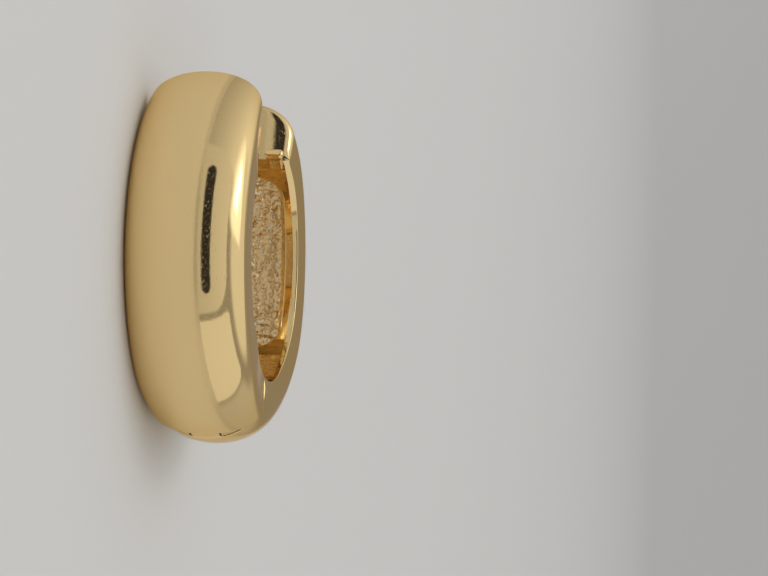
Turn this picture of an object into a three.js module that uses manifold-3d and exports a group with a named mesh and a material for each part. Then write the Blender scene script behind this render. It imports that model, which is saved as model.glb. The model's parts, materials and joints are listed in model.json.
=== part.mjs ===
// Hinged hoop earring: two hollow domed half bands, an ear post and a hinge pin.
// Millimetres, +Z up. The hoop lies on its side, so the axis of the ring is vertical.
// The front half faces -Y, the clasp is on the -X side and the hinge on the +X side.
import * as THREE from 'three';
import { mergeVertices } from 'three/addons/utils/BufferGeometryUtils.js';
import Module from 'manifold-3d';

// Band: outside size, the dome of its cross-section, the steep sides and the strip inside the rim
const hoopDiameter = 15;
const bandWidth = 4.7;
const bandDepth = 2.53;
const domeDrop = 1.18;
const domeWidthPower = 2.08;
const domeDropPower = 2.18;
const restLandDepth = 0.12;
const rimShare = 0.955;
const rimRise = 0.03;
const creaseShare = 0.865;

// Towards its ends the band gets narrower, by shares of its width, and its dome falls lower
const frontClaspNarrowing = 0.052;
const backClaspNarrowing = 0.037;
const hingeNarrowing = 0.05;
const claspTaperLength = 4.7;
const backClaspExtraDrop = 0.28;
const frontHingeExtraDrop = 0.05;
const backHingeExtraDrop = 0.7;
const frontHingeTaper = [-60, -90];
const backHingeTaper = [190, 232];
const backHingeRounding = [180, 270];

// The front half opens out a little towards its clasp end, as a share of its radius
const claspFlare = 0.031;

// End faces at the clasp: the front one is tilted, the back one is square to the ear post and domed
const frontEndAngle = 49.7;
const frontEndTilt = 19;
const backEndFromAxis = 1.65;
const endFaceCrown = 0.12;
const endFaceDoming = 0.05;

// Scooped hollows behind the dome
const hollowWidth = 3.6;
const crownWall = 0.8;
const hollowFloorNarrowing = 0.6;
const hollowCornerRadius = 1.1;
const hollowShoulder = { depth: 0.8, width: 0.35 };
const hollowEnd = { lip: 0.35, floor: 0.3, depth: 0.45 };
const cornerShares = [0.04, 0.2, 0.5, 1];
const frontEndWall = 0.9;
const backEndWall = 1;
const frontHingeBlockLength = 3.4;
const backHingeBlockLength = 5.2;

// Catch: an inner lip with a slot, past the end face of the back half
const catchReach = 0.75;
const catchThickness = 0.38;
const catchWidth = 4.12;
const catchSlotWidth = 2.6;
const catchRaise = 0.22;
const catchRootLength = 0.6;
const catchTrimAngle = 4;

// Ear post: a curved wire that follows the swing of the hinge
const postDiameter = 0.9;
const postInset = 1.45;
const postSocketDepth = 0.8;
const postGripDepth = 1.1;
const postHoleClearance = 0.2;
const postSocketClearance = 0.02;
const notchDepth = 0.1;
const notchLength = 0.35;
const notchRamp = 0.3;
const tipShares = [1, 0.97, 0.86, 0.66, 0.35];

// Hinge: three barrel-shaped knuckles that follow the dome, on a pin just inside the crown
const openingAngle = 50;
const pinDiameter = 0.5;
const pinLength = 2.1;
const pinClearance = 0.03;
const knuckleDiameter = 1.2;
const knuckleClearance = 0.035;
const knuckleSink = 0.02;
const hingeInset = 0.66;
const middleKnuckleLength = 1.2;
const outerKnuckleLength = 1.1;
const seamGap = 0.05;

// Fineness of the faceted solids
const stationAngle = 5;
const domeSteps = 8;
const roundSegments = 24;
const knuckleSteps = 4;
const postSegments = 10;
const postSteps = 12;
const holeSteps = 6;
const overrun = 8;
const hollowOverrun = 0.3;

const crownRadius = hoopDiameter / 2;
const halfWidth = bandWidth / 2;
const innerRadius = crownRadius - bandDepth;
const pivotX = crownRadius - hingeInset;
const postCentreX = -(crownRadius - postInset - postDiameter / 2);
const postArcRadius = pivotX - postCentreX;
const reach = hoopDiameter;

// The plane of the front half's end face: its normal, its run outward and its distance from the axis
const frontEndNormal = ringPoint(1, -frontEndTilt, 0);
const frontEndRun = ringPoint(1, 90 - frontEndTilt, 0);
const frontEndDistance = ringPoint(crownRadius * (1 + claspFlare), frontEndAngle, 0).dot(frontEndNormal);

// How the two halves differ
const front = {
  claspAngle: frontEndAngle,
  claspSide: 1,
  claspNarrowing: frontClaspNarrowing,
  claspExtraDrop: 0,
  flare: claspFlare,
  hingeTaper: frontHingeTaper,
  hingeRounding: frontHingeTaper,
  hingeExtraDrop: frontHingeExtraDrop,
};
const back = {
  claspAngle: angleAtPlane(backEndFromAxis, crownRadius),
  claspSide: -1,
  claspNarrowing: backClaspNarrowing,
  claspExtraDrop: backClaspExtraDrop,
  flare: 0,
  hingeTaper: backHingeTaper,
  hingeRounding: backHingeRounding,
  hingeExtraDrop: backHingeExtraDrop,
};

const wasm = await Module();
wasm.setup();

function toSolid(geometry) {
  const bare = geometry.clone();
  bare.deleteAttribute('normal');
  bare.deleteAttribute('uv');
  const merged = mergeVertices(bare, 1e-5);
  const vertProperties = new Float32Array(merged.attributes.position.array);
  const triVerts = new Uint32Array(merged.index.array);
  return new wasm.Manifold(new wasm.Mesh({ numProp: 3, vertProperties, triVerts }));
}

function toGeometry(solid) {
  const mesh = solid.getMesh();
  const geometry = new THREE.BufferGeometry();
  geometry.setAttribute('position', new THREE.BufferAttribute(new Float32Array(mesh.vertProperties), 3));
  geometry.setIndex(new THREE.BufferAttribute(new Uint32Array(mesh.triVerts), 1));
  return mergeVertices(geometry, 1e-3);
}

// A point of the ring: angle 0 is the front, 90 the clasp, 180 the back, -90 and 270 the hinge
function ringPoint(radius, degrees, z) {
  const angle = THREE.MathUtils.degToRad(degrees);
  return new THREE.Vector3(-radius * Math.sin(angle), -radius * Math.cos(angle), z);
}

// 1 at an end of the band, easing to 0 over a length measured along the crown
function nearEnd(degreesFromEnd, length) {
  const share = THREE.MathUtils.degToRad(degreesFromEnd) * crownRadius / length;
  return (1 - THREE.MathUtils.clamp(share, 0, 1)) ** 2;
}

function degreesAlong(length, radius) {
  return THREE.MathUtils.radToDeg(length / radius);
}

// 0 at the first angle, rising smoothly to 1 at the second one
function easeBetween([start, end], degrees) {
  const share = THREE.MathUtils.clamp((degrees - start) / (end - start), 0, 1);
  return share * share * (3 - 2 * share);
}

// Angle at which a plane at the given Y meets the ring at a radius, on the clasp side
function angleAtPlane(y, radius) {
  return THREE.MathUtils.radToDeg(Math.acos(-y / radius));
}

// Radius of the dome at a share of the half width
function domeRadius(across, drop) {
  const fall = 1 - Math.pow(1 - Math.pow(across, domeWidthPower), 1 / domeDropPower);
  return crownRadius - drop * fall;
}

// Half of the cross-section from the crown to the inner rim, as [radius, z] points
function halfSection(width, drop) {
  const points = [];
  for (let i = 0; i <= domeSteps; i++) {
    const across = Math.sin((i / domeSteps) * Math.PI / 2);
    points.push([domeRadius(across, drop), width * across]);
  }
  points.push([crownRadius - drop - restLandDepth, width]);
  points.push([innerRadius + rimRise, width * rimShare]);
  points.push([innerRadius, width * creaseShare]);
  return points;
}

// The cross-section of a half at an angle
function bandSection(half, degrees) {
  const nearClasp = nearEnd((half.claspAngle - degrees) * half.claspSide, claspTaperLength);
  const taper = half.claspNarrowing * nearClasp + hingeNarrowing * easeBetween(half.hingeTaper, degrees);
  const rounding = half.hingeExtraDrop * easeBetween(half.hingeRounding, degrees);
  const drop = domeDrop + half.claspExtraDrop * nearClasp + rounding;
  const side = halfSection(halfWidth * (1 - taper), drop)
    .map(([radius, z]) => [radius * (1 + half.flare * nearClasp), z]);
  const mirrored = side.slice(1).reverse().map(([radius, z]) => [radius, -z]);
  return [...mirrored, ...side];
}

// A closed body through one cross-section at each angle
function loft(angles, sectionAt) {
  const rings = angles.map((degrees) => sectionAt(degrees).map(([r, z]) => ringPoint(r, degrees, z)));
  const count = rings[0].length;
  const positions = [];
  const indices = [];
  for (const ring of rings) {
    for (const point of ring) {
      positions.push(point.x, point.y, point.z);
    }
  }
  for (let i = 0; i < rings.length - 1; i++) {
    for (let j = 0; j < count; j++) {
      const a = i * count + j;
      const b = i * count + (j + 1) % count;
      indices.push(a, b, a + count);
      indices.push(b, b + count, a + count);
    }
  }
  const lastRing = (rings.length - 1) * count;
  for (const [start, isLast] of [[0, false], [lastRing, true]]) {
    const middle = new THREE.Vector3();
    rings[start / count].forEach((point) => middle.addScaledVector(point, 1 / count));
    const centre = positions.length / 3;
    positions.push(middle.x, middle.y, middle.z);
    for (let j = 0; j < count; j++) {
      const a = start + j;
      const b = start + (j + 1) % count;
      indices.push(...(isLast ? [a, b, centre] : [b, a, centre]));
    }
  }
  const geometry = new THREE.BufferGeometry();
  geometry.setAttribute('position', new THREE.Float32BufferAttribute(positions, 3));
  geometry.setIndex(indices);
  return toSolid(geometry);
}

function stations(from, to) {
  const count = Math.max(3, Math.ceil((to - from) / stationAngle));
  return Array.from({ length: count + 1 }, (_, i) => from + (to - from) * i / count);
}

// A block with straight sides: a flat outline in X and Y, raised between two heights
function prism(corners, zLow, zHigh) {
  const shape = new THREE.Shape(corners.map(([x, y]) => new THREE.Vector2(x, y)));
  const geometry = new THREE.ExtrudeGeometry(shape, { depth: zHigh - zLow, bevelEnabled: false });
  geometry.translate(0, 0, zLow);
  return toSolid(geometry);
}

// A closed body turned about the hinge's axis, from [radius, z] points that go up
function turned(profile) {
  const low = [0, profile[0][1]];
  const high = [0, profile[profile.length - 1][1]];
  const points = [low, ...profile, high].map(([radius, z]) => new THREE.Vector2(radius, z));
  const geometry = new THREE.LatheGeometry(points, roundSegments);
  geometry.rotateX(Math.PI / 2);
  geometry.translate(pivotX, 0, 0);
  return toSolid(geometry);
}

function hingeCylinder(radius, halfLength) {
  return turned([[radius, -halfLength], [radius, halfLength]]);
}

// Points of the post's path: an arc about the hinge, from one Y to another
function postArc(yStart, yEnd, steps) {
  const points = [];
  for (let i = 0; i <= steps; i++) {
    const y = yStart + (yEnd - yStart) * i / steps;
    points.push(new THREE.Vector3(pivotX - Math.sqrt(postArcRadius ** 2 - y ** 2), y, 0));
  }
  return points;
}

// A round wire along a path in the XY plane, with its own radius at each point
function wire(path, radii) {
  const positions = [];
  const indices = [];
  path.forEach((point, i) => {
    const before = path[Math.max(i - 1, 0)];
    const after = path[Math.min(i + 1, path.length - 1)];
    const along = after.clone().sub(before).normalize();
    const across = new THREE.Vector3(along.y, -along.x, 0);
    for (let j = 0; j < postSegments; j++) {
      const turn = (j / postSegments) * 2 * Math.PI;
      const spot = point.clone().addScaledVector(across, radii[i] * Math.cos(turn));
      positions.push(spot.x, spot.y, spot.z + radii[i] * Math.sin(turn));
    }
  });
  for (let i = 0; i < path.length - 1; i++) {
    for (let j = 0; j < postSegments; j++) {
      const a = i * postSegments + j;
      const b = i * postSegments + (j + 1) % postSegments;
      indices.push(a, a + postSegments, b);
      indices.push(b, a + postSegments, b + postSegments);
    }
  }
  const last = (path.length - 1) * postSegments;
  for (let j = 1; j < postSegments - 1; j++) {
    indices.push(0, j, j + 1);
    indices.push(last, last + j + 1, last + j);
  }
  const geometry = new THREE.BufferGeometry();
  geometry.setAttribute('position', new THREE.Float32BufferAttribute(positions, 3));
  geometry.setIndex(indices);
  return geometry;
}

// The hollow behind the dome, which tapers towards its floor and has round ends
function hollow(from, to) {
  const floorRadius = crownRadius - crownWall;
  const length = THREE.MathUtils.degToRad(to - from) * innerRadius;
  const lipHalfWidth = hollowWidth / 2;
  const mouth = innerRadius - hollowOverrun;
  const corners = cornerShares.map((share) => share * hollowCornerRadius / length);
  const middleCount = Math.ceil((to - from) / stationAngle) - 2;
  const shares = [...corners];
  for (let i = 1; i < middleCount; i++) {
    const last = corners[corners.length - 1];
    shares.push(last + (1 - 2 * last) * i / middleCount);
  }
  shares.push(...corners.map((share) => 1 - share).reverse());
  const angles = shares.map((share) => from + (to - from) * share);
  return loft(angles, (degrees) => {
    const share = (degrees - from) / (to - from);
    const fromEnd = Math.min(share, 1 - share) * length / hollowCornerRadius;
    const round = Math.sqrt(1 - (1 - Math.min(fromEnd, 1)) ** 2);
    const lip = lipHalfWidth * THREE.MathUtils.lerp(hollowEnd.lip, 1, round);
    const floor = (lipHalfWidth - hollowFloorNarrowing) * THREE.MathUtils.lerp(hollowEnd.floor, 1, round);
    const deep = innerRadius + (floorRadius - innerRadius) * THREE.MathUtils.lerp(hollowEnd.depth, 1, round);
    const shoulder = innerRadius + (deep - innerRadius) * hollowShoulder.depth;
    const shoulderWidth = floor + (lip - floor) * hollowShoulder.width;
    return [
      [mouth, -lip], [innerRadius, -lip], [shoulder, -shoulderWidth], [deep, -floor],
      [deep, floor], [shoulder, shoulderWidth], [innerRadius, lip], [mouth, lip],
    ];
  });
}

// What is cut away outside the hinge, so that the halves can swing apart
function seamCut(side) {
  const flare = Math.tan(THREE.MathUtils.degToRad(openingAngle / 2));
  const gap = side * seamGap / 2;
  const corners = [
    [0, gap], [pivotX, gap], [pivotX + reach, gap + side * reach * flare],
    [pivotX + reach, -side * reach], [0, -side * reach],
  ];
  return prism(side > 0 ? corners.reverse() : corners, -reach, reach);
}

// The knuckles stay just inside the dome, so that they fill the seam on the crown
function knuckle(zLow, zHigh, clearance = 0) {
  const profile = [];
  for (let i = 0; i <= knuckleSteps; i++) {
    const z = zLow + (zHigh - zLow) * i / knuckleSteps;
    const across = Math.abs(z) / (halfWidth * (1 - hingeNarrowing));
    const flush = domeRadius(across, domeDrop + backHingeExtraDrop) - pivotX - knuckleSink;
    const margin = clearance * Math.sign(i - knuckleSteps / 2);
    const end = i === 0 || i === knuckleSteps;
    profile.push([Math.min(knuckleDiameter / 2, flush) + clearance, end ? z + margin : z]);
  }
  return turned(profile);
}

function outerKnuckle(side, clearance) {
  const near = middleKnuckleLength / 2;
  const far = near + outerKnuckleLength;
  return side > 0 ? knuckle(near, far, clearance) : knuckle(-far, -near, clearance);
}

function middleKnuckle(clearance) {
  return knuckle(-middleKnuckleLength / 2, middleKnuckleLength / 2, clearance);
}

function pinHole() {
  return hingeCylinder(pinDiameter / 2 + pinClearance, pinLength / 2 + knuckleClearance);
}

function frontHalf() {
  const angles = stations(-90 - overrun, frontEndAngle + overrun);
  const band = loft(angles, (degrees) => bandSection(front, degrees));
  const start = frontEndNormal.clone().multiplyScalar(frontEndDistance);
  const far = start.clone().addScaledVector(frontEndRun, reach);
  const claspCut = prism([start, far, far.clone().addScaledVector(frontEndNormal, -reach),
    start.clone().addScaledVector(frontEndNormal, -reach)].map((p) => [p.x, p.y]), -reach, reach);
  const innerEnd = THREE.MathUtils.radToDeg(Math.acos(frontEndDistance / innerRadius)) - frontEndTilt;
  const hollowTo = innerEnd - degreesAlong(frontEndWall, innerRadius);
  const hollowFrom = -90 + degreesAlong(frontHingeBlockLength, innerRadius);
  return band
    .subtract(claspCut)
    .subtract(seamCut(-1))
    .subtract(hollow(hollowFrom, hollowTo))
    .add(outerKnuckle(1, 0))
    .add(outerKnuckle(-1, 0))
    .subtract(middleKnuckle(knuckleClearance))
    .subtract(pinHole())
    .subtract(postSocket());
}

// Y where the middle of the post leaves the front half's end face
function postRootY() {
  const pivot = new THREE.Vector3(pivotX, 0, 0);
  const offset = frontEndDistance - pivot.dot(frontEndNormal);
  const along = Math.sqrt(postArcRadius ** 2 - offset ** 2);
  return pivot.addScaledVector(frontEndNormal, offset).addScaledVector(frontEndRun, along).y;
}

function postSocket() {
  const path = postArc(postRootY() - postSocketDepth, postRootY() + postDiameter, holeSteps);
  return toSolid(wire(path, path.map(() => postDiameter / 2 + postSocketClearance)));
}

// The lip that the post snaps behind: two tongues on the inner rim, either side of a slot
function catchLip() {
  const low = innerRadius - catchRaise;
  const high = low + catchThickness;
  const tipY = backEndFromAxis - catchReach;
  const from = angleAtPlane(tipY, low) - catchTrimAngle;
  const to = angleAtPlane(backEndFromAxis, low) + degreesAlong(catchRootLength, low);
  const section = [
    [low, -catchWidth / 2], [low, catchWidth / 2], [high, catchWidth / 2], [high, -catchWidth / 2],
  ];
  const outward = section.slice().reverse();
  const trim = prism([[0, -reach], [0, tipY], [-reach, tipY], [-reach, -reach]].reverse(), -reach, reach);
  const slotEnd = backEndFromAxis + seamGap;
  const slot = prism(
    [[0, 0], [0, slotEnd], [-reach, slotEnd], [-reach, 0]],
    -catchSlotWidth / 2, catchSlotWidth / 2,
  );
  return loft(stations(from, to), () => outward).subtract(trim).subtract(slot);
}

// What is cut away past the back half's end face, which is domed across its width
function endFaceCut() {
  const corners = [[-bandWidth, -reach], [bandWidth, -reach]];
  for (let i = domeSteps; i >= -domeSteps; i--) {
    const z = bandWidth * i / domeSteps;
    corners.push([z, backEndFromAxis - endFaceCrown + endFaceDoming * z * z]);
  }
  const shape = new THREE.Shape(corners.map(([z, y]) => new THREE.Vector2(z, y)));
  const geometry = new THREE.ExtrudeGeometry(shape, { depth: reach, bevelEnabled: false });
  geometry.rotateY(-Math.PI / 2);
  return toSolid(geometry);
}

function backHalf() {
  const angles = stations(back.claspAngle - overrun, 270 + overrun);
  const band = loft(angles, (degrees) => bandSection(back, degrees));
  const innerEnd = angleAtPlane(backEndFromAxis, innerRadius);
  const hollowFrom = innerEnd + degreesAlong(backEndWall, innerRadius);
  const hollowTo = 270 - degreesAlong(backHingeBlockLength, innerRadius);
  const holeFrom = backEndFromAxis - postDiameter;
  const holeTo = backEndFromAxis + postGripDepth + postHoleClearance;
  const holePath = postArc(holeFrom, holeTo, holeSteps);
  const postHole = toSolid(wire(holePath, holePath.map(() => postDiameter / 2 + postHoleClearance)));
  return band
    .subtract(endFaceCut())
    .subtract(seamCut(1))
    .subtract(hollow(hollowFrom, hollowTo))
    .add(middleKnuckle(0))
    .subtract(outerKnuckle(1, knuckleClearance))
    .subtract(outerKnuckle(-1, knuckleClearance))
    .subtract(pinHole())
    .add(catchLip())
    .subtract(postHole);
}

function earPost() {
  const radius = postDiameter / 2;
  const yStart = postRootY() - postSocketDepth + postSocketClearance;
  const yTip = backEndFromAxis + postGripDepth;
  const yNotch = yTip - radius - notchLength;
  const shaft = postArc(yStart, yNotch, postSteps);
  const notch = postArc(yNotch + notchLength * notchRamp, yNotch + notchLength * (1 - notchRamp), 1);
  const tip = postArc(yNotch + notchLength, yTip, tipShares.length - 1);
  const radii = [
    ...shaft.map(() => radius),
    ...notch.map(() => radius - notchDepth),
    ...tipShares.map((share) => radius * share),
  ];
  return toGeometry(toSolid(wire([...shaft, ...notch, ...tip], radii)));
}

function hingePin() {
  return toGeometry(hingeCylinder(pinDiameter / 2, pinLength / 2));
}

const polishedGold = new THREE.MeshStandardMaterial({ color: 0xe0b66c, metalness: 1, roughness: 0.12 });
const castGold = new THREE.MeshStandardMaterial({ color: 0xd29a3a, metalness: 1, roughness: 0.35 });

const hoop = new THREE.Group();

function place(name, geometry, material) {
  const mesh = new THREE.Mesh(geometry, material);
  mesh.name = name;
  hoop.add(mesh);
}

place('front_half', toGeometry(frontHalf()), polishedGold);
place('back_half', toGeometry(backHalf()), polishedGold);
place('ear_post', earPost(), castGold);
place('hinge_pin', hingePin(), castGold);

// The origin is under the middle of the hoop, on the surface that it lies on
const box = new THREE.Box3().setFromObject(hoop);
const middle = box.getCenter(new THREE.Vector3());
hoop.position.set(-middle.x, -middle.y, -box.min.z);

const earring = new THREE.Group();
earring.add(hoop);
export default earring;
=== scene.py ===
import json
import math
import bmesh
import bpy
import numpy as np
from mathutils import Matrix, Vector, noise


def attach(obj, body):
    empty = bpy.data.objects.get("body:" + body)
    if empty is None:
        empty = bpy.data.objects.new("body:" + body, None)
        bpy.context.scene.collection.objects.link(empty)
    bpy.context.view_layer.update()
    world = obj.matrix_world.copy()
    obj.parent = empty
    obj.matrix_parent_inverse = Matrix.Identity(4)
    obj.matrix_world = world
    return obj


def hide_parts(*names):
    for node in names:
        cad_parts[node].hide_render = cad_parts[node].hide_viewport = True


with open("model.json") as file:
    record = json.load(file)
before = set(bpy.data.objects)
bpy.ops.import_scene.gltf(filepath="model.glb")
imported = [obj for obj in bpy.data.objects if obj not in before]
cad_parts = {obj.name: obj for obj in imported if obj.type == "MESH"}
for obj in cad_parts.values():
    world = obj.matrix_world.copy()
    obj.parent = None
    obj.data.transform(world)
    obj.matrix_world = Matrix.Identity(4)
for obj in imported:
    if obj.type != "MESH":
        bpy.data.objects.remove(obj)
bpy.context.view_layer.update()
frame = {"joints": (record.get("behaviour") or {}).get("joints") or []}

# Lengths in the dictionaries are millimetres, angles are degrees. Ring angles: 0 is the
# front, 90 the clasp, 180 the back, -90 and 270 the hinge. The ring's axis is vertical.
mm = 0.001

band = {
    "crownRadius": 7.5,
    "innerRadius": 4.97,
    "halfWidth": 2.34,
    "domeDrop": 1.18,
    "widthPower": 2.08,
    "dropPower": 2.18,
    "sideLand": 0.12,
    "sideSpan": (0.04, 0.84),    # flat part of the side, from the rim to the widest strip
    "rimShare": 0.97,            # half width at the rim against that of the band
    "creaseShare": 0.865,        # from here to the rim the inner face leans a little outwards
    "rimRise": 0.03,
    "rimFillet": 0.03,
    "spineRadius": 6.1,          # the ends are rounded towards this line
    "spineHalf": 1.4,
    "edgeInset": 0.15,           # share of that rounding that reaches the inner edge
    "edgeFade": (5.0, 5.45),
    "pivotX": 6.84,              # hinge pivot, from the ring's middle
    "openingAngle": 50,
    "seamGap": 0.05,
    "seamRounding": 0.06,
    "claspTaper": 4.7,
    "hingeNarrowing": 0.05,
    "domingFade": (3.0, 0.2),    # distance from the end face over which its doming fades
    "shadeAngle": 34,
}

pivot = Vector(frame["joints"][0]["pos_m"])
ringMiddle = pivot - Vector((band["pivotX"] * mm, 0, 0))


def ringPoints(radius, degrees, z):
    angle = np.radians(degrees)
    return np.stack([-radius * np.sin(angle), -radius * np.cos(angle), z + 0 * radius], -1)


def toRow(points):
    return np.asarray(points) * mm + np.array(ringMiddle)


def gridFaces(rows, columns):
    faces = []
    for i in range(rows - 1):
        for j in range(columns):
            low, high = i * columns, (i + 1) * columns
            k = (j + 1) % columns
            faces.append((low + j, low + k, high + k, high + j))
    return faces


def closedFaces(rows, columns):
    # a tube of rings with a flat end on either side
    last = (rows - 1) * columns
    return gridFaces(rows, columns) + [tuple(range(columns)), tuple(range(last, last + columns))]


def meshFrom(name, points, faces, castShare=None):
    mesh = bpy.data.meshes.new(name)
    mesh.from_pydata([tuple(p) for p in toRow(points)], [], faces)
    layer = mesh.attributes.new("castShare", "FLOAT", "POINT")
    layer.data.foreach_set("value", np.zeros(len(points), np.float32) if castShare is None else castShare)
    build = bmesh.new()
    build.from_mesh(mesh)
    bmesh.ops.remove_doubles(build, verts=build.verts, dist=0.0005 * mm)
    bmesh.ops.recalc_face_normals(build, faces=build.faces)
    build.to_mesh(mesh)
    build.free()
    piece = bpy.data.objects.new(name, mesh)
    bpy.context.scene.collection.objects.link(piece)
    return piece


def shadeByAngle(piece, degrees):
    piece.data.shade_smooth()
    piece.data.set_sharp_from_angle(angle=math.radians(degrees))


def combine(piece, tool, operation):
    change = piece.modifiers.new(operation, "BOOLEAN")
    change.operation = operation
    change.solver = "EXACT"
    change.object = tool
    result = bpy.data.meshes.new_from_object(piece.evaluated_get(bpy.context.evaluated_depsgraph_get()))
    piece.modifiers.clear()
    piece.data = result
    bpy.data.objects.remove(tool)


def around(count):
    return np.linspace(0, 2 * math.pi, count, endpoint=False)


def smooth(share):
    return share ** 2 * (3 - 2 * share)


# Cross-section of the band

def easeFromEnd(arc, length):
    return (1 - np.clip(arc / length, 0, 1)) ** 2


def easeBetween(start, end, value):
    return smooth(np.clip((value - start) / (end - start), 0, 1))


def domeRadius(across, drop):
    fall = 1 - (1 - across ** band["widthPower"]) ** (1 / band["dropPower"])
    return band["crownRadius"] - drop * fall


def bandShape(half, degrees):
    # half width, widening of the radius and drop of the dome at each angle
    arc = np.radians((half["claspAngle"] - degrees) * half["claspSide"]) * band["crownRadius"]
    nearClasp = easeFromEnd(arc, band["claspTaper"])
    narrowing = half["claspNarrowing"] * nearClasp
    narrowing = narrowing + band["hingeNarrowing"] * easeBetween(*half["hingeTaper"], degrees)
    drop = band["domeDrop"] + half["claspExtraDrop"] * nearClasp
    drop = drop + half["hingeExtraDrop"] * easeBetween(*half["hingeRounding"], degrees)
    return band["halfWidth"] * (1 - narrowing), 1 + half["flare"] * nearClasp, drop


def mix(start, end, t):
    return start + (end - start) * t


def bend(start, corner, end, t):
    return (1 - t) ** 2 * start + 2 * t * (1 - t) * corner + t ** 2 * end


def sectionLoop(width, stretch, drop):
    # from the middle of the inner face, over +z and the crown, back round by -z
    inner = band["innerRadius"]
    crease = width * band["creaseShare"]
    rimR, rimZ = inner + band["rimRise"], width * band["rimShare"]
    ones = np.ones_like(width)
    across = np.concatenate([
        np.linspace(0, 0.6, 20),
        np.linspace(0.6, 0.97, 42)[1:],
        np.linspace(0.97, 1, 4)[1:],
    ])
    innerZ = crease * across
    innerR = inner * np.ones_like(innerZ)
    # a narrow strip leads to the rim, then the side goes up to the widest strip
    shoulder = band["crownRadius"] - drop
    land = shoulder - band["sideLand"]
    fillet = band["rimFillet"] / (rimZ - crease)
    upStrip = np.linspace(0, 1, 6)[1:] * (1 - fillet)
    stripR, stripZ = mix(inner, rimR, upStrip), mix(crease, rimZ, upStrip)
    low, high = band["sideSpan"]
    lowR, lowZ = mix(rimR, land, low), mix(rimZ, width, low)
    highR, highZ = mix(rimR, land, high), mix(rimZ, width, high)
    along = np.linspace(low, high, 10)
    sideR, sideZ = mix(rimR, land, along) * ones, mix(rimZ, width, along)
    t = np.linspace(0, 1, 7)[1:-1]
    cornerR, cornerZ = bend(stripR[:, -1:], rimR, lowR, t), bend(stripZ[:, -1:], rimZ, lowZ, t)
    rollR, rollZ = bend(highR, land, shoulder, t) * ones, bend(highZ, width, width, t)
    sine = np.sin(np.linspace(math.pi / 2, 0, 60))
    domeR, domeZ = domeRadius(sine, drop) * ones, width * sine
    halfR = np.concatenate([innerR, stripR, cornerR, sideR, rollR, domeR], 1) * stretch
    halfZ = np.concatenate([innerZ, stripZ, cornerZ, sideZ, rollZ, domeZ], 1)
    radius = np.concatenate([halfR, halfR[:, -2:0:-1]], 1)
    z = np.concatenate([halfZ, -halfZ[:, -2:0:-1]], 1)
    innerCount = innerZ.shape[1]
    onInner = np.zeros(radius.shape[1], bool)
    onInner[:innerCount] = True
    onInner[-(innerCount - 1):] = True
    return radius, z, onInner


def insetLoop(radius, z, inset):
    # moves a loop towards the line in its middle, which rounds an end of the band
    alongR = band["spineRadius"] - radius
    alongZ = np.clip(z, -band["spineHalf"], band["spineHalf"]) - z
    length = np.hypot(alongR, alongZ)
    # the inner edge stays crisp
    amount = inset * mix(band["edgeInset"], 1, easeBetween(*band["edgeFade"], radius))
    return radius + alongR / length * amount, z + alongZ / length * amount


def insetAt(distance, rounding):
    left = np.clip(rounding - distance, 0, None)
    return rounding - np.sqrt(rounding ** 2 - left ** 2)


# The two halves

frontHalf = {
    "name": "frontHalfBand",
    "claspAngle": 49.7,
    "claspSide": 1,
    "planeAngle": -19,      # direction that the end face's plane is square to
    "claspNarrowing": 0.052,
    "claspExtraDrop": 0,
    "flare": 0.031,
    "hingeAngle": -90,
    "hingeSide": 1,
    "hingeTaper": (-60, -90),
    "hingeRounding": (-60, -90),
    "hingeExtraDrop": 0.05,
    "endRounding": 0.16,
    "holeClearance": 0.03,
    "holeDepth": 0.8,
    "faceCrown": 0,
    "faceDoming": 0,
    "hollow": (-50.8, 26.2),
    "seed": 3.0,
}
backHalf = {
    "name": "backHalfBand",
    "claspAngle": 102.71,
    "claspSide": -1,
    "planeAngle": 180,
    "claspNarrowing": 0.037,
    "claspExtraDrop": 0.28,
    "flare": 0,
    "hingeAngle": 270,
    "hingeSide": -1,
    "hingeTaper": (190, 232),
    "hingeRounding": (180, 270),
    "hingeExtraDrop": 0.7,
    "endRounding": 0.25,
    "holeClearance": 0.2,
    "holeDepth": 1.35,
    "faceCrown": 0.12,
    "faceDoming": 0.055,
    "hollow": (120.9, 210.05),
    "seed": 11.0,
}
hollow = {
    "halfWidth": 1.78,
    "bevelWidth": 0.07,     # a smooth bevel runs round the rough part
    "bevelDepth": 0.05,
    "depth": 1.6,
    "wallWidth": 0.55,
    "wallPower": 2.3,
    "cornerRadius": 1.1,
    "lumpSize": 0.34,
    "lumpHeight": 0.09,
    "grainSize": 0.1,
    "grainHeight": 0.06,
    "castFade": 0.06,
}
stations = {
    "claspOffsets": [0, 0.008, 0.025, 0.05, 0.08, 0.12, 0.17, 0.24, 0.3],
    "hingeOffsets": [0, 0.01, 0.03, 0.06, 0.12],
    "coarseStep": 0.11,
    "fineStep": 0.055,           # along the hollow, at this radius
    "fineRadius": 6.0,
    "hollowMargin": 2,           # degrees past the hollow's ends
    "claspLean": (0.35, 4.5),    # arc that keeps to the end's plane, arc over which that fades
    "hingeLean": (0.15, 2.5),
    "hingeRings": (0.9, 0.78, 0.64, 0.48, 0.3, 0.12),
    "claspRings": (0.85, 0.65, 0.4, 0.15, 0),
}


def claspAngleAt(half, radius, offset):
    reach = half["planeDistance"] + offset
    return half["planeAngle"] + half["claspSide"] * np.degrees(np.arccos(reach / radius))


def hingeAngleAt(half, radius, offset):
    flare = math.tan(math.radians(band["openingAngle"] / 2))
    away = band["seamGap"] / 2 + offset + np.clip(radius - band["pivotX"], 0, None) * flare
    return half["hingeAngle"] + half["hingeSide"] * np.degrees(np.arcsin(away / radius))


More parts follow.
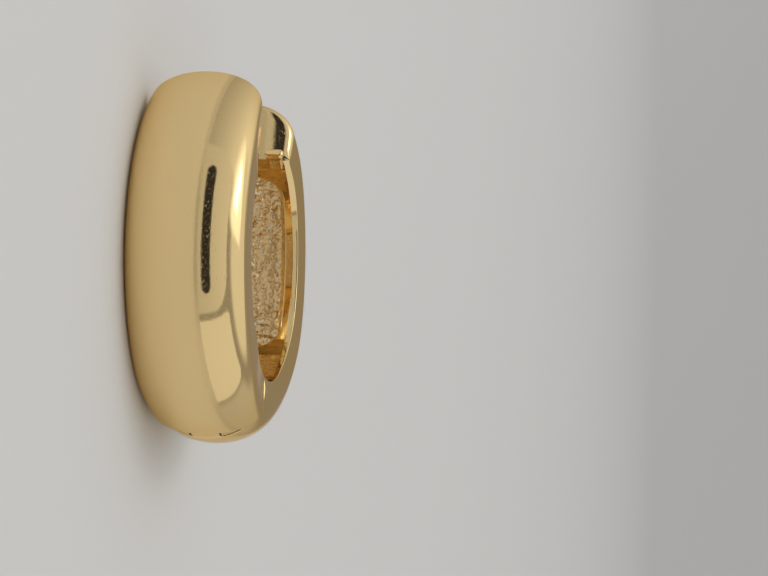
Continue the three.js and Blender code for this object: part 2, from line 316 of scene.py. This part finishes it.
def hollowDepth(half, arc, z, lip):
    # distance inside the hollow's outline, then the scoop's depth at that distance
    low = np.radians(half["hollow"][0]) * band["innerRadius"]
    high = np.radians(half["hollow"][1]) * band["innerRadius"]
    corner = hollow["cornerRadius"]
    fromEnd = np.minimum(arc - low, high - arc)
    fromSide = lip - np.abs(z)
    inCorner = (fromEnd < corner) & (fromSide < corner)
    rounded = corner - np.hypot(corner - fromEnd, corner - fromSide)
    inside = np.where(inCorner, rounded, np.minimum(fromEnd, fromSide))
    bevel = np.clip(inside / hollow["bevelWidth"], 0, 1)
    scoop = np.clip((inside - hollow["bevelWidth"]) / hollow["wallWidth"], 0, 1)
    depth = hollow["bevelDepth"] * bevel + hollow["depth"] * (1 - (1 - scoop) ** hollow["wallPower"])
    return depth, inside - hollow["bevelWidth"]


def castNoise(points, seed):
    out = np.zeros(len(points))
    for i, p in enumerate(points):
        lump = noise.noise(Vector((p[0], p[1], p[2] + seed)) / hollow["lumpSize"])
        grain = noise.noise(Vector((p[0] + seed, p[1], p[2])) / hollow["grainSize"])
        out[i] = lump * hollow["lumpHeight"] + grain * hollow["grainHeight"]
    return out


def spaced(start, end, step):
    return np.linspace(start, end, max(2, int(math.ceil(abs(end - start) / step)) + 1))


def stationsAlong(half):
    # from the hinge to the clasp: angles, distances from the seam and from the end face
    crown = band["crownRadius"]
    claspOffsets, hingeOffsets = stations["claspOffsets"], stations["hingeOffsets"]
    stops = [
        hingeAngleAt(half, crown, hingeOffsets[-1]),
        half["hollow"][0] - stations["hollowMargin"],
        half["hollow"][1] + stations["hollowMargin"],
        claspAngleAt(half, half["endRadius"], claspOffsets[-1]),
    ]
    if half["claspSide"] < 0:
        stops[0], stops[3] = stops[3], stops[0]
    fine = math.degrees(stations["fineStep"] / stations["fineRadius"])
    coarse = math.degrees(stations["coarseStep"] / crown)
    between = np.concatenate([
        spaced(stops[0], stops[1], coarse)[:-1],
        spaced(stops[1], stops[2], fine),
        spaced(stops[2], stops[3], coarse)[1:],
    ])
    if half["claspSide"] < 0:
        between = between[::-1]
    nearHinge = np.array(hingeOffsets[:-1])
    nearClasp = np.array(claspOffsets[:-1][::-1])
    angles = np.concatenate([
        hingeAngleAt(half, crown, nearHinge),
        between,
        claspAngleAt(half, half["endRadius"], nearClasp),
    ])
    fromHinge = np.concatenate([nearHinge, np.full(len(between) + len(nearClasp), hingeOffsets[-1])])
    fromClasp = np.concatenate([np.full(len(nearHinge) + len(between), claspOffsets[-1]), nearClasp])
    return angles[:, None], fromHinge[:, None], fromClasp[:, None]


def leanAt(degrees, keptArc, fadeArc):
    arc = np.radians(np.abs(degrees)) * band["crownRadius"]
    return smooth(np.clip(1 - (arc - keptArc) / fadeArc, 0, 1))


def roughened(points, cast, seed):
    rough = np.where(cast > 0)[0]
    amount = castNoise(points[rough], seed) * cast[rough]
    outward = points[rough] * [1, 1, 0]
    outward /= np.linalg.norm(outward, axis=1)[:, None]
    points[rough] += outward * amount[:, None]
    return points


def buildHalf(half):
    crown = band["crownRadius"]
    endRadius = crown * (1 + half["flare"])
    tilt = math.radians(half["claspAngle"] - half["planeAngle"])
    half["endRadius"] = endRadius
    half["planeDistance"] = endRadius * math.cos(tilt)
    angles, fromHinge, fromClasp = stationsAlong(half)
    width, stretch, drop = bandShape(half, angles)
    radius, z, onInner = sectionLoop(width, stretch, drop)
    inset = insetAt(fromClasp, half["endRounding"]) + insetAt(fromHinge, band["seamRounding"])
    radius, z = insetLoop(radius, z, inset)
    # each station leans from the end's plane to a radial one
    claspLean = leanAt(angles - half["claspAngle"], *stations["claspLean"])
    hingeLean = leanAt(angles - half["hingeAngle"], *stations["hingeLean"])
    claspShift = claspAngleAt(half, radius, fromClasp) - claspAngleAt(half, endRadius, fromClasp)
    hingeShift = hingeAngleAt(half, radius, fromHinge) - hingeAngleAt(half, crown, fromHinge)
    degrees = angles + claspLean * claspShift + hingeLean * hingeShift
    # the hollow, cut into the inner face
    arc = np.radians(degrees) * band["innerRadius"]
    lip = width / band["halfWidth"] * hollow["halfWidth"]
    depth, inside = hollowDepth(half, arc, z, lip)
    depth = np.where(onInner, depth, 0)
    cast = np.where(onInner, np.clip(inside / hollow["castFade"], 0, 1), 0).reshape(-1)
    points = roughened(ringPoints(radius + depth, degrees, z).reshape(-1, 3), cast, half["seed"])
    rows, columns = radius.shape
    faces = gridFaces(rows, columns)
    points, faces = capHinge(half, points, faces, radius[0], z[0])
    points, faces = capClasp(half, points, faces, (rows - 1) * columns, columns)
    points = domeEndFace(half, points)
    cast = np.concatenate([cast, np.zeros(len(points) - len(cast))])
    return meshFrom(half["name"], points, faces, cast.astype(np.float32))


def addRing(points, faces, before, ring):
    count = len(ring)
    start = len(points)
    points = np.concatenate([points, ring])
    for j in range(count):
        k = (j + 1) % count
        faces.append((before + j, before + k, start + k, start + j))
    return points, faces, start


def closeRing(points, faces, before, count, middle):
    points = np.concatenate([points, [middle]])
    for j in range(count):
        faces.append((before + j, before + (j + 1) % count, len(points) - 1))
    return points, faces


def capHinge(half, points, faces, radius, z):
    # the seam face is flat inside the pivot and slants away outside it
    middle = band["spineRadius"]
    before = 0
    for share in stations["hingeRings"]:
        r = middle + (radius - middle) * share
        ring = ringPoints(r, hingeAngleAt(half, r, 0), z * share)
        points, faces, before = addRing(points, faces, before, ring)
    centre = ringPoints(middle, hingeAngleAt(half, middle, 0), 0)
    return closeRing(points, faces, before, len(radius), centre)


post = {
    "name": "earPostWire",
    "diameter": 0.9,
    "inset": 1.45,           # from the crown to the wire's outer side
    "endClearance": 0.03,    # to the bottom of its socket
    "gripDepth": 1.1,
    "holeMargin": 0.05,      # flat ring round each hole
    "holeBevel": ((0.015, 0.02), (0.05, 0)),    # depth, widening
    "notchDepth": 0.1,
    "notchPower": 0.7,
    "notchFromTip": 0.62,
    "notchLength": 0.3,
    "tipShare": 0.85,        # length of the rounded tip against the wire's radius
    "tipRadius": 0.02,
    "shadeAngle": 40,
}
post["arcRadius"] = band["pivotX"] + band["crownRadius"] - post["inset"] - post["diameter"] / 2


def postPath(y):
    y = np.asarray(y, float)
    x = band["pivotX"] - np.sqrt(post["arcRadius"] ** 2 - y ** 2)
    return np.stack([x, y, 0 * y], -1)


def endNormal(half):
    angle = math.radians(half["planeAngle"])
    return np.array([-math.sin(angle), -math.cos(angle), 0])


def postRoot(half):
    # y where the wire's middle meets the end face of a half, by halving a span that holds it
    low, high = -6.0, 3.0
    for _ in range(50):
        y = (low + high) / 2
        past = postPath(y) @ endNormal(half) - half["planeDistance"]
        if (past > 0) == (half["claspSide"] > 0):
            low = y
        else:
            high = y
    return (low + high) / 2


def domeEndFace(half, points):
    past = points @ endNormal(half) - half["planeDistance"]
    fade = easeBetween(*band["domingFade"], past) * (points[:, 0] < 0)
    push = half["faceDoming"] * points[:, 2] ** 2 - half["faceCrown"]
    return points + (fade * push)[:, None] * endNormal(half)


def capClasp(half, points, faces, before, columns):
    # a flat end face round the hole that the post sits in
    normal = endNormal(half)
    centre = postPath(postRoot(half))
    loop = points[before:before + columns]
    run = np.cross(normal, [0, 0, 1])
    angle = np.arctan2(loop[:, 2], (loop - centre) @ run)
    spokes = np.cos(angle)[:, None] * run + np.sin(angle)[:, None] * np.array([0, 0, 1.0])
    hole = post["diameter"] / 2 + half["holeClearance"]
    deep = half["holeDepth"]
    edge = centre + spokes * (hole + post["holeMargin"])
    for share in stations["claspRings"]:
        ring = edge + (loop - edge) * share
        points, faces, before = addRing(points, faces, before, ring)
    for sink, wide in (*post["holeBevel"], (deep * 0.5, 0), (deep, 0)):
        ring = centre + normal * sink + spokes * (hole + wide)
        points, faces, before = addRing(points, faces, before, ring)
    return closeRing(points, faces, before, columns, centre + normal * deep)


print("bands: lofting the two halves")
frontBand = buildHalf(frontHalf)
backBand = buildHalf(backHalf)


# Hinge: knuckles and pin

hingeKnuckles = {
    "radius": 0.6,
    "sink": 0.01,           # how far they stay inside the dome
    "clearance": 0.035,
    "middleHalf": 0.6,
    "outerEnd": 1.7,
    "chamfer": 0.03,
}
pin = {
    "name": "hingePinRod",
    "radius": 0.25,
    "halfLength": 1.05,
    "clearance": 0.03,
    "chamfer": 0.04,
    "shadeAngle": 30,
}


def turned(name, profile):
    # a closed body turned about the hinge's axis, from (radius, z) points
    turns = around(72)
    points = []
    for radius, z in profile:
        for a in turns:
            points.append((band["pivotX"] + radius * math.cos(a), radius * math.sin(a), z))
    return meshFrom(name, np.array(points), closedFaces(len(profile), len(turns)))


def knuckle(low, high, clearance=0):
    # barrel-shaped, so that it follows the dome; with a clearance it is the pocket for it
    width = band["halfWidth"] * (1 - band["hingeNarrowing"])
    drop = band["domeDrop"] + backHalf["hingeExtraDrop"]
    profile = []
    for z in np.linspace(low, high, 15):
        flush = domeRadius(abs(z) / width, drop) - band["pivotX"] - hingeKnuckles["sink"]
        profile.append((min(hingeKnuckles["radius"], flush) + clearance, z))
    firstRadius, lastRadius = profile[0][0], profile[-1][0]
    if clearance:
        profile = [(firstRadius, low - clearance)] + profile[1:-1] + [(lastRadius, high + clearance)]
    else:
        bevel = hingeKnuckles["chamfer"]
        profile = [(firstRadius - bevel, low), (firstRadius, low + bevel)] + profile[1:-1]
        profile += [(lastRadius, high - bevel), (lastRadius - bevel, high)]
    return turned("knuckle", profile)


def pinHole():
    radius = pin["radius"] + pin["clearance"]
    end = pin["halfLength"] + hingeKnuckles["clearance"]
    return turned("pinHole", [(radius, -end), (radius, end)])


def buildPin():
    radius, end, bevel = pin["radius"], pin["halfLength"], pin["chamfer"]
    profile = [(radius - bevel, -end), (radius, -end + bevel)]
    profile += [(radius, end - bevel), (radius - bevel, end)]
    return turned(pin["name"], profile)


def cutHinge():
    gap = hingeKnuckles["clearance"]
    inner, outer = hingeKnuckles["middleHalf"], hingeKnuckles["outerEnd"]
    combine(frontBand, knuckle(inner, outer), "UNION")
    combine(frontBand, knuckle(-outer, -inner), "UNION")
    combine(frontBand, knuckle(-inner, inner, gap), "DIFFERENCE")
    combine(frontBand, pinHole(), "DIFFERENCE")
    combine(backBand, knuckle(-inner, inner), "UNION")
    combine(backBand, knuckle(inner, outer, gap), "DIFFERENCE")
    combine(backBand, knuckle(-outer, -inner, gap), "DIFFERENCE")
    combine(backBand, pinHole(), "DIFFERENCE")


print("hinge: cutting the knuckles and the pin's hole")
cutHinge()
hingePin = buildPin()
shadeByAngle(hingePin, pin["shadeAngle"])


# Catch: two tongues with a rounded flange, from the inner face past the end of the back half

catch = {
    "tipY": 0.9,
    "slotHalf": 1.3,
    "lipRadius": 4.85,
    "squareness": (0.5, 0.6),    # powers across and up; 1 gives an ellipse
    # distance from the tip along the lip, half width, inner radius, outer radius
    "stations": [
        (0.00, 1.95, 4.80, 4.92), (0.02, 2.00, 4.73, 4.98), (0.07, 2.05, 4.68, 5.04),
        (0.16, 2.07, 4.66, 5.07), (0.25, 2.06, 4.67, 5.09), (0.33, 2.02, 4.71, 5.10),
        (0.40, 1.97, 4.77, 5.10), (0.50, 1.93, 4.82, 5.11), (0.62, 1.92, 4.85, 5.12),
        (0.72, 1.92, 4.87, 5.14), (0.80, 1.92, 4.88, 5.16), (0.90, 1.92, 4.90, 5.18),
        (1.02, 1.90, 4.93, 5.20), (1.16, 1.88, 4.96, 5.20), (1.30, 1.86, 4.99, 5.20),
        (1.46, 1.84, 5.03, 5.20),
    ],
}


def squared(values, power):
    return np.sign(values) * np.abs(values) ** power


def tongue(side):
    tipAngle = 180 - math.degrees(math.acos(catch["tipY"] / catch["lipRadius"]))
    turns = around(40)
    powerAcross, powerUp = catch["squareness"]
    sideways = squared(np.cos(turns), powerAcross)
    upwards = squared(np.sin(turns), powerUp)
    rows = []
    for along, wide, low, high in catch["stations"]:
        angle = tipAngle + math.degrees(along / catch["lipRadius"])
        middle = (wide + catch["slotHalf"]) / 2
        halfWide = (wide - catch["slotHalf"]) / 2
        radius = (low + high) / 2 + upwards * (high - low) / 2
        rows.append(ringPoints(radius, angle, side * (middle + sideways * halfWide)))
    return meshFrom("tongue", np.concatenate(rows), closedFaces(len(rows), len(turns)))


print("catch: adding the tongues")
combine(backBand, tongue(1), "UNION")
combine(backBand, tongue(-1), "UNION")
for piece in (frontBand, backBand):
    shadeByAngle(piece, band["shadeAngle"])


# Ear post

def buildPost():
    rootY = postRoot(frontHalf)
    tipY = backHalf["planeDistance"] + post["gripDepth"]
    radius = post["diameter"] / 2
    y = [rootY - frontHalf["holeDepth"] + post["endClearance"]]
    wide = [radius]
    # the straight run, the notch that the catch grips, then the rounded tip
    notchMiddle = tipY - post["notchFromTip"]
    for value in np.linspace(rootY - 0.5, notchMiddle - post["notchLength"], 60):
        y.append(value)
        wide.append(radius)
    for share in np.linspace(-1, 1, 13):
        y.append(notchMiddle + share * post["notchLength"] * 0.5)
        depth = post["notchDepth"] * math.cos(share * math.pi / 2) ** post["notchPower"]
        wide.append(radius - depth)
    for share in np.linspace(0.02, 1, 16):
        turn = share * math.pi / 2
        y.append(tipY - radius * post["tipShare"] * (1 - math.sin(turn)))
        wide.append(radius * math.cos(turn))
    wide[-1] = post["tipRadius"]
    path = postPath(y)
    along = np.gradient(path, axis=0)
    along /= np.linalg.norm(along, axis=1)[:, None]
    across = np.stack([along[:, 1], -along[:, 0], 0 * along[:, 0]], -1)
    turns = around(40)
    points = []
    for spot, sideways, r in zip(path, across, wide):
        for a in turns:
            points.append(spot + r * (sideways * math.cos(a) + np.array([0, 0, 1]) * math.sin(a)))
    return meshFrom(post["name"], np.array(points), closedFaces(len(path), len(turns)))


print("post: sweeping the wire")
earPost = buildPost()
shadeByAngle(earPost, post["shadeAngle"])


# Finishes

goldFinish = {
    "plate": (0.92, 0.69, 0.34, 1),
    "cast": (0.94, 0.77, 0.49, 1),
    "wire": (0.9, 0.66, 0.3, 1),
    "edge": (0.9, 0.76, 0.56, 1),    # what a grazing look shows
    "ior": 1.5,
    # roughness, from and to
    "polishRoughness": (0.027, 0.072),
    "castRoughness": (0.096, 0.224),
    "wireRoughness": (0.08, 0.24),
    # noise scale, detail, roughness
    "castGrain": (10000, 1, 0.4),
    "polishBlotches": (1400, 3, 0.5),
    "wireGrain": (6000, 4, 0.6),
    "streakNoise": (1, 2, 0.6),
    # turns of the streaks about the three axes, in degrees, and their length and width
    "hairlineTurns": [(29, 20, 37), (-52, -36, -67)],
    "hairlineSize": (1.1, 0.11),
    "scratchTurns": [(0, 22, 10), (8, -38, -6), (-5, 74, 4), (4, -68, 12)],
    "scratchSize": (1.2, 0.03),
    "scratchThreshold": (0.68, 0.78),
    # bump strength, distance in metres
    "hairlineBump": (0.012, 0.00005),
    "scratchBump": (1, 0.0000012),
    "castBump": (1, 0.00003),
    "wireBump": (0.05, 0.00003),
}


def goldMaterial(name):
    material = bpy.data.materials.new(name)
    material.use_nodes = True
    tree = material.node_tree
    tree.nodes.clear()
    out = tree.nodes.new("ShaderNodeOutputMaterial")
    shader = tree.nodes.new("ShaderNodeBsdfPrincipled")
    tree.links.new(shader.outputs["BSDF"], out.inputs["Surface"])
    shader.inputs["Metallic"].default_value = 1
    shader.inputs["IOR"].default_value = goldFinish["ior"]
    shader.inputs["Specular Tint"].default_value = goldFinish["edge"]
    return material, tree, shader


def node(tree, kind, **settings):
    made = tree.nodes.new(kind)
    for key, value in settings.items():
        if hasattr(made, key):
            setattr(made, key, value)
        else:
            made.inputs[key].default_value = value
    return made


def noiseAt(tree, vector, scale, detail, roughness):
    made = node(tree, "ShaderNodeTexNoise", Scale=scale, Detail=detail, Roughness=roughness)
    tree.links.new(vector, made.inputs["Vector"])
    return made.outputs["Fac"]


def stretchedNoise(tree, place, turn, length, width):
    # texture mapping turns before it stretches, so each streak lies along its own axis
    mapping = node(tree, "ShaderNodeMapping", vector_type="TEXTURE")
    mapping.inputs["Rotation"].default_value = [math.radians(t) for t in turn]
    mapping.inputs["Scale"].default_value = [length * mm, width * mm, width * mm]
    tree.links.new(place, mapping.inputs["Vector"])
    return noiseAt(tree, mapping.outputs["Vector"], *goldFinish["streakNoise"])


def mapped(tree, value, ends, low, high):
    # ends is "From" for the span that the value is read over, "To" for the span it is spread to
    spread = node(tree, "ShaderNodeMapRange")
    spread.inputs[ends + " Min"].default_value = low
    spread.inputs[ends + " Max"].default_value = high
    tree.links.new(value, spread.inputs["Value"])
    return spread.outputs["Result"]


def bumped(tree, height, strength, distance):
    bump = node(tree, "ShaderNodeBump", Strength=strength, Distance=distance)
    tree.links.new(height, bump.inputs["Height"])
    return bump


def added(tree, values):
    total = values[0]
    for value in values[1:]:
        both = node(tree, "ShaderNodeMath", operation="ADD")
        tree.links.new(total, both.inputs[0])
        tree.links.new(value, both.inputs[1])
        total = both.outputs[0]
    return total


def bandGold():
    material, tree, shader = goldMaterial("goldBand")
    link = tree.links.new
    place = node(tree, "ShaderNodeTexCoord").outputs["Object"]
    castShare = node(tree, "ShaderNodeAttribute", attribute_name="castShare").outputs["Fac"]
    # fine hairlines from polishing, in two directions
    hairs = []
    for turn in goldFinish["hairlineTurns"]:
        hairs.append(stretchedNoise(tree, place, turn, *goldFinish["hairlineSize"]))
    # single scratches, where stretched noise rises past a threshold
    scratches = []
    for turn in goldFinish["scratchTurns"]:
        streak = stretchedNoise(tree, place, turn, *goldFinish["scratchSize"])
        scratches.append(mapped(tree, streak, "From", *goldFinish["scratchThreshold"]))
    # rough grain of the casting in the hollows, soft blotches in the polish elsewhere
    grain = noiseAt(tree, place, *goldFinish["castGrain"])
    blotches = noiseAt(tree, place, *goldFinish["polishBlotches"])
    hairlineBump = bumped(tree, added(tree, hairs), *goldFinish["hairlineBump"])
    scratchBump = bumped(tree, added(tree, scratches), *goldFinish["scratchBump"])
    castBump = bumped(tree, grain, *goldFinish["castBump"])
    link(hairlineBump.outputs["Normal"], scratchBump.inputs["Normal"])
    link(scratchBump.outputs["Normal"], castBump.inputs["Normal"])
    link(castShare, castBump.inputs["Strength"])
    link(castBump.outputs["Normal"], shader.inputs["Normal"])
    rough = node(tree, "ShaderNodeMix", data_type="FLOAT")
    link(castShare, rough.inputs[0])
    link(mapped(tree, blotches, "To", *goldFinish["polishRoughness"]), rough.inputs[2])
    link(mapped(tree, grain, "To", *goldFinish["castRoughness"]), rough.inputs[3])
    link(rough.outputs[0], shader.inputs["Roughness"])
    colour = node(tree, "ShaderNodeMix", data_type="RGBA")
    colour.inputs[6].default_value = goldFinish["plate"]
    colour.inputs[7].default_value = goldFinish["cast"]
    link(castShare, colour.inputs[0])
    link(colour.outputs[2], shader.inputs["Base Color"])
    return material


def wireGold():
    material, tree, shader = goldMaterial("goldWire")
    place = node(tree, "ShaderNodeTexCoord").outputs["Object"]
    drawn = noiseAt(tree, place, *goldFinish["wireGrain"])
    rough = mapped(tree, drawn, "To", *goldFinish["wireRoughness"])
    bump = bumped(tree, drawn, *goldFinish["wireBump"])
    tree.links.new(rough, shader.inputs["Roughness"])
    tree.links.new(bump.outputs["Normal"], shader.inputs["Normal"])
    shader.inputs["Base Color"].default_value = goldFinish["wire"]
    return material


print("finishes")
goldBand = bandGold()
goldWire = wireGold()
pieces = [
    (frontBand, "front_half", "front", goldBand, "polished_gold"),
    (backBand, "back_half", "back", goldBand, "polished_gold"),
    (earPost, "ear_post", "front", goldWire, "gold_wire"),
    (hingePin, "hinge_pin", "front", goldWire, "gold_wire"),
]
for piece, cadNode, body, material, slotName in pieces:
    piece.data.materials.clear()
    piece.data.materials.append(material)
    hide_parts(cadNode)
    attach(piece, body)


# Camera: the photo's view of the hoop, turned because the hoop lies on its side here

camera = {
    "azimuth": 19.0,
    "elevation": 11.8,
    "roll": -0.5525,
    "distance": 106.8,
    "hoopPixel": (220.1, 255.25),    # where the ring's middle shows, in a 768 x 576 picture
    "pixelsPerTangent": 2668.6,
    "pictureSize": (768, 576),
    "sensorWidth": 36,
    "clip": (0.002, 20),
}


def buildCamera():
    azimuth, elevation = math.radians(camera["azimuth"]), math.radians(camera["elevation"])
    back = Vector((math.sin(azimuth) * math.cos(elevation), -math.cos(azimuth) * math.cos(elevation),
                   math.sin(elevation)))
    upright = Vector((-math.cos(azimuth), -math.sin(azimuth), 0))
    right = (-back).cross(upright)
    roll = math.radians(camera["roll"])
    rightAxis = right * math.cos(roll) - upright * math.sin(roll)
    upAxis = right * math.sin(roll) + upright * math.cos(roll)
    # aim past the hoop, so that it shows where the photo has it
    sideways = (camera["pictureSize"][0] / 2 - camera["hoopPixel"][0]) / camera["pixelsPerTangent"]
    upwards = (camera["hoopPixel"][1] - camera["pictureSize"][1] / 2) / camera["pixelsPerTangent"]
    aim = (-back + rightAxis * sideways + upAxis * upwards).normalized()
    rightAxis = aim.cross(upAxis).normalized()
    upAxis = rightAxis.cross(aim)
    data = bpy.data.cameras.new("camera")
    data.sensor_width = camera["sensorWidth"]
    data.lens = camera["pixelsPerTangent"] / camera["pictureSize"][0] * data.sensor_width
    data.clip_start, data.clip_end = camera["clip"]
    view = bpy.data.objects.new("camera", data)
    bpy.context.scene.collection.objects.link(view)
    turn = Matrix((rightAxis, upAxis, -aim)).transposed().to_4x4()
    view.matrix_world = Matrix.Translation(ringMiddle + back * camera["distance"] * mm) @ turn
    bpy.context.scene.camera = view


buildCamera()


# Studio: a round pale sweep under a light tent that the camera doesn't see

studio = {
    "flatRings": (0.01, 40, 150, 300),
    "flatRadius": 450,
    "sweepRadius": 250,
    "sweepAngle": 30,
    "columns": 120,
    "floorColour": (0.8, 0.795, 0.785, 1),
    "floorRoughness": 0.8,
    "airColour": (0.62, 0.62, 0.61, 1),
}
lightTent = {
    "cellSize": 1.5,
    "fineUpTo": 62,      # elevation; above it the rings stand wider apart
    "wideCell": 2,
    "topRing": 89.9,
    "colour": (1, 0.99, 0.97, 1),
    "backdrop": 0.3,
    # ring angle from and to, elevation from and to, glow low down and high up, softness, corner
    "panels": {
        "claspSide": (38, 150, -20, 62, 0.36, 0.95, 10, 20),
        "overhead": (-200, 200, 54, 100, 0.72, 0.72, 5, 0),
        "keyLight": (2, 96, 47, 84, 1.3, 1.3, 7, 16),
        "keyCore": (26, 74, 54, 66, 3.2, 3.2, 5, 6),
        "hingeCard": (-119, -58.5, -20, 44, 0.68, 0.72, 0.8, 6),
        "hingeFar": (-175, -122, -20, 40, 0.45, 0.5, 6, 10),
        "frontPanel": (-54, 50, -20, 44, 0.5, 0.66, 0.8, 24),
        "lensSlot": (-42, 37, 7, 17, 0.03, 0.03, 0.6, 5),
    },
}


def stageMesh(name, points, faces):
    mesh = bpy.data.meshes.new(name)
    mesh.from_pydata([tuple(p) for p in np.asarray(points) * mm], [], faces)
    mesh.shade_smooth()
    made = bpy.data.objects.new(name, mesh)
    bpy.context.scene.collection.objects.link(made)
    return made


def sweepPoint(degrees):
    turn = math.radians(degrees)
    rise = studio["sweepRadius"] * (1 - math.cos(turn))
    return studio["flatRadius"] + studio["sweepRadius"] * math.sin(turn), rise


def buildSweep():
    profile = [(radius, 0.0) for radius in (*studio["flatRings"], studio["flatRadius"])]
    profile += [sweepPoint(degrees) for degrees in np.linspace(0, studio["sweepAngle"], 14)[1:]]
    angles = np.linspace(0, 360, studio["columns"], False)
    points = [ringPoints(np.array(radius), a, z) for radius, z in profile for a in angles]
    sweep = stageMesh("sweep", points, gridFaces(len(profile), len(angles)))
    material = bpy.data.materials.new("paleSweep")
    material.use_nodes = True
    shader = material.node_tree.nodes["Principled BSDF"]
    shader.inputs["Base Color"].default_value = studio["floorColour"]
    shader.inputs["Roughness"].default_value = studio["floorRoughness"]
    sweep.data.materials.append(material)


def tentGlow(angle, elevation):
    glow = np.full(angle.shape, lightTent["backdrop"])
    for a0, a1, e0, e1, low, high, soft, corner in lightTent["panels"].values():
        middle, halfWide = (a0 + a1) / 2, (a1 - a0) / 2
        side = np.abs((angle - middle + 180) % 360 - 180) - halfWide + corner
        rise = np.abs(elevation - (e0 + e1) / 2) - (e1 - e0) / 2 + corner
        inward = np.minimum(np.maximum(side, rise), 0)
        outside = np.hypot(np.maximum(side, 0), np.maximum(rise, 0)) + inward - corner
        share = smooth(np.clip(0.5 - outside / (2 * soft), 0, 1))
        up = np.clip((elevation - max(e0, 0)) / (e1 - max(e0, 0)), 0, 1)
        glow = glow * (1 - share) + (low + (high - low) * up) * share
    return glow


def buildTent():
    # its lower edge meets the top of the sweep
    edgeRadius, rise = sweepPoint(studio["sweepAngle"])
    radius = math.hypot(edgeRadius, rise)
    lowest = math.degrees(math.asin(rise / radius))
    borders = []
    for a0, a1, _, _, _, _, soft, _ in lightTent["panels"].values():
        for edge in (a0, a1):
            borders += [edge - soft, edge, edge + soft]
    even = np.arange(0, 360, lightTent["cellSize"])
    angles = np.unique(np.round(np.concatenate([even, borders]) % 360, 2))
    elevations = np.concatenate([
        np.arange(lowest, lightTent["fineUpTo"], lightTent["cellSize"] / 2),
        np.arange(lightTent["fineUpTo"], lightTent["topRing"], lightTent["wideCell"]),
        [lightTent["topRing"]],
    ])
    a, e = np.meshgrid(angles, elevations)
    points = ringPoints(radius * np.cos(np.radians(e)), a, radius * np.sin(np.radians(e))).reshape(-1, 3)
    tent = stageMesh("lightTent", points, gridFaces(len(elevations), len(angles)))
    glow = tent.data.attributes.new("glow", "FLOAT", "POINT")
    glow.data.foreach_set("value", tentGlow(a, e).reshape(-1).astype(np.float32))
    tent.visible_camera = False
    material = bpy.data.materials.new("tentCloth")
    material.use_nodes = True
    tree = material.node_tree
    tree.nodes.clear()
    out = tree.nodes.new("ShaderNodeOutputMaterial")
    light = node(tree, "ShaderNodeEmission", Color=lightTent["colour"])
    amount = node(tree, "ShaderNodeAttribute", attribute_name="glow")
    tree.links.new(amount.outputs["Fac"], light.inputs["Strength"])
    tree.links.new(light.outputs["Emission"], out.inputs["Surface"])
    tent.data.materials.append(material)


def buildWorld():
    world = bpy.data.worlds.new("studioAir")
    world.use_nodes = True
    background = world.node_tree.nodes["Background"]
    background.inputs["Color"].default_value = studio["airColour"]
    bpy.context.scene.world = world
    bpy.context.scene.view_settings.view_transform = "Standard"


print("studio")
buildSweep()
buildTent()
buildWorld()

print("done")
